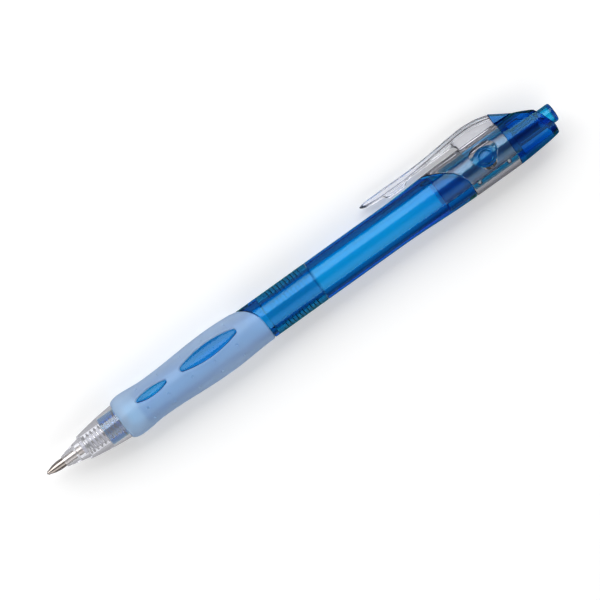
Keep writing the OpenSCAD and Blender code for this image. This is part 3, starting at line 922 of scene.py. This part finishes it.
def clip_flange():
    """The clip's arm as seen from above, with a rounded free end."""
    stations = []
    tip_zs = [95.24, 95.3, 95.42, 95.6, 95.85, 96.2, 96.7, 97.3]
    for z in np.concatenate([tip_zs, np.arange(98, 131.9, 0.75), [131.9]]):
        high = float(along(CLIP_TOP, max(z, 95.5)))
        low = float(along(CLIP_UNDER, z))
        thinned = (high - low) / 4 * max(0.0, 1 - (z - 95.2) / 0.5)
        stations.append((z, low + thinned, high - thinned, float(along(CLIP_PLAN, z)), 0.22))
    return box_loft("clip_flange", stations)


def clip_web():
    """The upright web under the arm, which widens and comes down onto the sleeve at its rear."""
    start = 107.2
    stations = []
    bend = [121.2, 121.5, 121.8, 122.05, 122.3, 122.7, 123.2]
    for z in np.concatenate([np.arange(start, 121.0, 0.8), bend, np.arange(124, 131.8, 0.9), [131.93]]):
        high = float(along(CLIP_UNDER, z)) + 0.35
        low = WEB_LOW_X + 0.35 * max(0, 1 - (z - start) / 2.0)
        if z > WEB_BEND_Z:
            t = min(1.0, z - WEB_BEND_Z)
            low = WEB_LOW_X - (WEB_LOW_X - WEB_FOOT_X) * (1 - math.sqrt(max(0.0, 1 - t**2)))
        half = 0.7 + 0.75 * float(ease((z - 120.5) / 2.0))
        stations.append((z, low, high, half, 0.12))
    return box_loft("clip_web", stations)


def clip_bump():
    """The bump under the arm that holds on to a pocket."""
    stations = []
    for z in np.arange(101.3, 107.85, 0.25):
        t = (z - BUMP_MIDDLE_Z) / BUMP_HALF_LENGTH
        low = 6.05 + 1.35 * (1 - math.sqrt(max(0.0, 1 - t**4)))
        stations.append((z, min(low, 7.3), 7.5, 1.0, 0.3))
    return box_loft("clip_bump", stations)


def hole_cutter(side):
    """A flared cutter for the hole round the boss on one side of the sleeve."""
    turn = circle(HOLE_STEPS)
    rings = []
    for y, x, r in HOLE_RINGS:
        ring = [x + r * np.cos(turn), np.full(HOLE_STEPS, side * y), BOSS_Z + r * np.sin(turn)]
        rings.append(np.stack(ring, axis=-1))
    return lofted("hole", np.array(rings))


def clip_sleeve():
    turn = circle(TUBE_STEPS)
    edge = sleeve_edge(SLEEVE_EDGE_R * np.cos(turn)) + 0.06

    # Outside, from the front edge to the rear end
    rows = [(edge, NECK_R + 0.15), (edge, rear_r(edge) - 0.3)]
    for ahead in (0.03, 0.1, 0.2):
        rows.append((edge + ahead, rear_r(edge + ahead) - round_drop(ahead, 0.2)))
    for share in np.linspace(0, 1, 16)[1:]:
        at = edge + 0.2 + (131.7 - edge - 0.2) * share
        rows.append((at, np.minimum(rear_r(at) + 0.03 * (at > SLEEVE_Z), REST_R)))
    rows += [(131.85, REST_R - 0.03), (131.94, REST_R - 0.12), (SLEEVE_END_Z, REST_R - 0.3)]

    # Back inside, just clear of the neck
    rows += [(SLEEVE_END_Z, NECK_R + 0.12), (131.88, NECK_R + 0.05)]
    for share in np.linspace(0, 1, 10)[1:]:
        rows.append((131.88 + (edge + 0.1 - 131.88) * share, NECK_R + 0.05))
    sleeve = ring_from_rows("clip_moulding", rows, turn)

    cutters = [hole_cutter(side) for side in (-1, 1)]
    joined("DIFFERENCE", sleeve, cutters + pip_balls(PIP_POCKET_R))
    return joined("UNION", sleeve, [clip_web(), clip_flange(), clip_bump()])


clip = finished(clip_sleeve(), None, clear_plastic, ["clip_sleeve", "clip_arm"], sharp=30)
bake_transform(clip)

# ---------------------------------------------------------------- end cap and button

CAP_Z = 132.0
CAP_END_Z = 143.3
# The sloping end as (distance, x), and the round body as (distance, radius)
CAP_TOP = ((CAP_Z, 8.2), (141.0, 2.32), (142.2, -0.5), (CAP_END_Z, -3.2))
CAP_BODY = ((CAP_Z, REST_R), (135, 5.6), (139, 5.3), (141.9, 5.0), (142.6, 4.75))
CAP_WALL = 1.5
CAP_SEAT_Z = 133.7
CEILING_R = (2.42, 3.0, 3.5, 4.0)
BUTTON_HOLE_R = 2.42
FIN_HALF_WIDTH = 1.8
FIN_TOP_X = 8.2
FIN_BLEND = 0.25


def cap_top_z(x):
    """How far from the writing point the cap's sloping end lies."""
    zs, xs = np.array(CAP_TOP)[::-1].T
    return np.interp(x, xs, zs)


def cap_radius(z, turn):
    """The cap's radius, with the fin on the clip's side blended into the round body."""
    body = np.interp(z, *np.array(CAP_BODY).T)
    ahead = math.cos(turn)
    if ahead <= 0:
        return body
    fin = min(FIN_HALF_WIDTH / max(abs(math.sin(turn)), 1e-6), FIN_TOP_X / ahead)
    return 0.5 * (body + fin + math.hypot(body - fin, FIN_BLEND)) if fin > 4 else body


def cap_outline(turn):
    """The closed outline of (z, r, rounding) corners that the cap has at one angle about the pen."""
    ahead = math.cos(turn)
    zs = np.linspace(CAP_Z, CAP_END_Z, 400)
    rs = np.array([cap_radius(z, turn) for z in zs])
    over = np.nonzero(zs >= cap_top_z(rs * ahead))[0]
    cross = zs[over[0]] if len(over) else CAP_END_Z
    cross_r = cap_radius(cross, turn)

    # Out along the open end, back along the side and down the slope to the button's hole
    path = [(CAP_Z, 4.52, 0.05), (CAP_Z, cap_radius(CAP_Z, turn), 0.12)]
    for share in (0.2, 0.4, 0.6, 0.8):
        at = CAP_Z + (cross - CAP_Z) * share
        path.append((at, cap_radius(at, turn), 0))
    path.append((cross, cross_r, 0.45))
    for share in (0.25, 0.5, 0.75):
        r = cross_r + (BUTTON_HOLE_R - cross_r) * share
        path.append((float(cap_top_z(r * ahead)), r, 0))
    path.append((float(cap_top_z(BUTTON_HOLE_R * ahead)), BUTTON_HOLE_R, 0.12))

    # The ceiling under the slope, and the inside down to the neck's seat
    for r, rounding in zip(CEILING_R, (0.12, 0, 0, 0.3)):
        path.append((float(cap_top_z(r * ahead)) - CAP_WALL, r, rounding))
    path += [(CAP_SEAT_Z, CEILING_R[-1], 0.05), (CAP_SEAT_Z, 4.5, 0.08)]
    return path


def end_cap():
    # Columns close together where the fin leaves the round body
    fin_turn = math.degrees(math.atan2(FIN_HALF_WIDTH, 8.0))
    front = np.arange(0, fin_turn - 1.5, 2.0)
    degrees = np.concatenate([front, fin_turn + np.arange(-1.5, 8.1, 0.5), np.arange(22, 180.1, 2.5)])
    turns = np.radians(np.concatenate([degrees, -degrees[-2:0:-1]]))
    outlines = np.array([evenly_filleted(cap_outline(turn)) for turn in turns])
    z, r = outlines.transpose(2, 1, 0)
    return ring_solid("end_cap_shell", z, r, turns[None, :])


finished(end_cap(), "rear", cap_plastic, ["end_cap"], sharp=40)


def push_button():
    outline = [(144.2, 0, 0), (144.2, 1.7, 0.2), (134.05, 1.7, 0.1), (134.05, 2.35, 0.15)]
    outline += [(PEN_LENGTH, 2.35, 0.55), (PEN_LENGTH, 0, 0)]
    return turned_rod("push_button_shell", outline, 1.5)


finished(push_button(), "knock", button_plastic, ["push_button"])

# ---------------------------------------------------------------- refill


SPRING_R = 2.25
WIRE_R = 0.2
WIRE_SIDES = 12
COIL_Z = (11.42, 21.78)
CLOSED_PITCH = 0.42  # of the first and the last turn
OPEN_PITCH = 1.07


def return_spring():
    """A coil that winds round the pen, with one closed turn at each end."""
    first, last = COIL_Z
    working = (last - first - 2 * CLOSED_PITCH) / OPEN_PITCH
    around_wire = circle(WIRE_SIDES)
    out = SPRING_R + WIRE_R * np.cos(around_wire)
    rings = []
    for turns in np.arange(0, working + 2.001, 1 / 36):
        closed_turns = min(turns, 1) + max(turns - 1 - working, 0)
        open_turns = min(max(turns - 1, 0), working)
        z = first + CLOSED_PITCH * closed_turns + OPEN_PITCH * open_turns
        rings.append(around(z + WIRE_R * np.sin(around_wire), out, TAU * turns))
    return lofted("return_coil", np.array(rings))


spring = finished(return_spring(), None, spring_steel, ["return_spring"])
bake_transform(spring)


def point_holder():
    outline = [(10.3, 1.17, 0.03), (10.3, 1.35, 0.1), (10.7, 1.55, 0.1), (12.2, 1.55, 0.1), (12.7, 1.9, 0.1)]
    outline += [(22, 1.9, 0.1), (22, 2.7, 0.12), (23.4, 2.7, 0.12), (23.4, 2.28, 0.05), (29.5, 2.28, 0.15)]
    outline += [(29.5, 0.9, 0.05), (12.05, 0.9, 0.02), (12.05, 1.17, 0.02)]
    return turned("point_holder_body", outline)


finished(point_holder(), "refill", holder_plastic, ["point_holder"])


def refill_tube():
    outline = [(23.45, 2.3, 0.05), (23.45, 2.75, 0.12), (111.05, 2.75, 0.12), (111.05, 2.3, 0.05)]
    return turned("refill_tube_wall", outline)


finished(refill_tube(), "refill", tube_plastic, ["refill_tube"])


def metal_point():
    outside = [(0.24, 0.36, 0.02), (0.24, 0.43, 0.04), (0.95, 0.6, 0.05), (1.05, 0.66, 0.05)]
    outside += [(2.0, 0.95, 0.3), (3.0, 1.1, 0.4), (3.4, 1.15, 0.3), (12, 1.15, 0.1)]
    inside = [(12, 0.55, 0.05), (2.2, 0.55, 0.02), (2.0, 0.22, 0.02), (0.7, 0.22, 0.02)]
    return turned("point_cone", outside + inside)


finished(metal_point(), "refill", point_nickel, ["metal_point"])

CAD_FINISHES = {
    "guide_tube": guide_plastic,
    "thrust_tube": guide_plastic,
    "cam_rotor": natural_plastic,
    "ball": spring_steel,
    "point_spring": spring_steel,
    "ink": ink_gel,
    "ink_follower": grease,
    "tail_plug": natural_plastic,
}
for node, material in CAD_FINISHES.items():
    shown = frame["nodes"][node]
    for material_slot in shown.material_slots:
        material_slot.material = material

# ---------------------------------------------------------------- floor, light and camera

scene = bpy.context.scene
LEAN = math.radians(15.25)  # how far the view leans from upright
PEN_SLOPE = math.radians(35.62)  # how far the pen slopes in the picture
PICTURE_WIDTH = 139.678  # the width that the picture takes in at the pen's axis
to_camera = Vector((0, -math.sin(LEAN), math.cos(LEAN)))
towards_clip = Vector((0, -math.cos(LEAN), -math.sin(LEAN)))
FLOOR_REFLECTED = (0.38, 0.38, 0.40)
FLOOR_LIFT = 0.25
# Brightness of the world by its direction, from straight away from the clip (0) to towards it (1)
WORLD_STOPS = (
    (0.0, 0.08), (0.045, 0.12), (0.1, 1.2), (0.26, 0.75), (0.34, 0.18),
    (0.44, 0.1), (0.5, 0.15), (0.6, 0.28), (0.88, 0.22), (0.95, 0.06),
)


def floor():
    """A plain pale floor, which shows lighter in the picture than in the pen's reflections."""
    bpy.ops.mesh.primitive_plane_add(size=3.0, location=(0, 0, 0))
    obj = bpy.context.object
    obj.name = "floor"
    material, tree, shader, _ = new_material("floor_sheet")
    direct = tree.nodes.new("ShaderNodeMath")
    direct.operation = "LESS_THAN"
    direct.inputs[1].default_value = 0.5
    tree.links.new(tree.nodes.new("ShaderNodeLightPath").outputs["Glossy Depth"], direct.inputs[0])
    seen = direct.outputs["Value"]
    pale = mixed(tree, noise(tree, 6), (0.86, 0.86, 0.86), (0.83, 0.83, 0.83))
    shade = tree.nodes.new("ShaderNodeMix")
    shade.data_type = "RGBA"
    shade.inputs["A"].default_value = (*FLOOR_REFLECTED, 1)
    tree.links.new(pale, shade.inputs["B"])
    tree.links.new(seen, shade.inputs["Factor"])
    tree.links.new(shade.outputs["Result"], shader.inputs["Base Color"])
    shader.inputs["Roughness"].default_value = 0.7
    shader.inputs["Specular IOR Level"].default_value = 0.0
    shader.inputs["Emission Color"].default_value = (1, 1, 1, 1)
    lift = tree.nodes.new("ShaderNodeMath")
    lift.operation = "MULTIPLY"
    lift.inputs[1].default_value = FLOOR_LIFT
    tree.links.new(seen, lift.inputs[0])
    tree.links.new(lift.outputs["Value"], shader.inputs["Emission Strength"])
    material.cycles.emission_sampling = "NONE"
    obj.data.materials.append(material)


def area_light(name, angle, distance, across, length, power):
    """A long soft light over the pen, at that angle from upright towards the clip's side."""
    data = bpy.data.lights.new(name, "AREA")
    data.shape = "RECTANGLE"
    data.size, data.size_y = length, across
    data.energy = power
    lamp = bpy.data.objects.new(name, data)
    way = Vector((0, -math.sin(math.radians(angle)), math.cos(math.radians(angle))))
    lamp.location = way * distance
    lamp.rotation_mode = "QUATERNION"
    side = Vector((1, 0, 0))
    up = way.cross(side)
    lamp.rotation_quaternion = Matrix((side, up, way)).transposed().to_quaternion()
    scene.collection.objects.link(lamp)


def studio_world():
    """A grey world whose brightness changes only from one side of the pen to the other."""
    world = bpy.data.worlds.new("studio")
    world.use_nodes = True
    scene.world = world
    tree = world.node_tree
    tree.nodes.clear()
    output = tree.nodes.new("ShaderNodeOutputWorld")
    background = tree.nodes.new("ShaderNodeBackground")
    place = tree.nodes.new("ShaderNodeTexCoord")
    dot = tree.nodes.new("ShaderNodeVectorMath")
    dot.operation = "DOT_PRODUCT"
    dot.inputs[1].default_value = towards_clip
    ramp = tree.nodes.new("ShaderNodeValToRGB")
    shift = tree.nodes.new("ShaderNodeMath")
    shift.operation = "MULTIPLY_ADD"
    shift.inputs[1].default_value = 0.5
    shift.inputs[2].default_value = 0.5
    for position, _ in WORLD_STOPS[2:]:
        ramp.color_ramp.elements.new(position)
    for element, (position, value) in zip(ramp.color_ramp.elements, WORLD_STOPS):
        element.position = position
        element.color = (value, value, value, 1)
    tree.links.new(place.outputs["Generated"], dot.inputs[0])
    tree.links.new(dot.outputs["Value"], shift.inputs[0])
    tree.links.new(shift.outputs["Value"], ramp.inputs["Fac"])
    tree.links.new(ramp.outputs["Color"], background.inputs["Color"])
    background.inputs["Strength"].default_value = 1.0
    tree.links.new(background.outputs["Background"], output.inputs["Surface"])


def camera():
    """A long lens over the pen, turned so that the pen slopes up to the right."""
    data = bpy.data.cameras.new("camera")
    data.lens = 180
    data.sensor_width = 36
    distance = PICTURE_WIDTH * MM * data.lens / data.sensor_width
    away = Vector((-1, 0, 0))
    right = away * math.cos(PEN_SLOPE) - towards_clip * math.sin(PEN_SLOPE)
    up = away * math.sin(PEN_SLOPE) + towards_clip * math.cos(PEN_SLOPE)
    aim = Vector((0, AXIS_Y, AXIS_Z)) - right * 0.08 * MM - up * 1.72 * MM
    obj = bpy.data.objects.new("camera", data)
    scene.collection.objects.link(obj)
    obj.rotation_mode = "QUATERNION"
    obj.rotation_quaternion = Matrix((right, up, to_camera)).transposed().to_quaternion()
    obj.location = aim + to_camera * distance
    data.clip_start, data.clip_end = 0.05, 20
    scene.camera = obj


floor()
area_light("key", angle=51, distance=1.4, across=1.1, length=3.0, power=29)
area_light("fill", angle=-49, distance=1.4, across=0.09, length=2.4, power=1.4)
studio_world()
camera()
scene.view_settings.view_transform = "Standard"
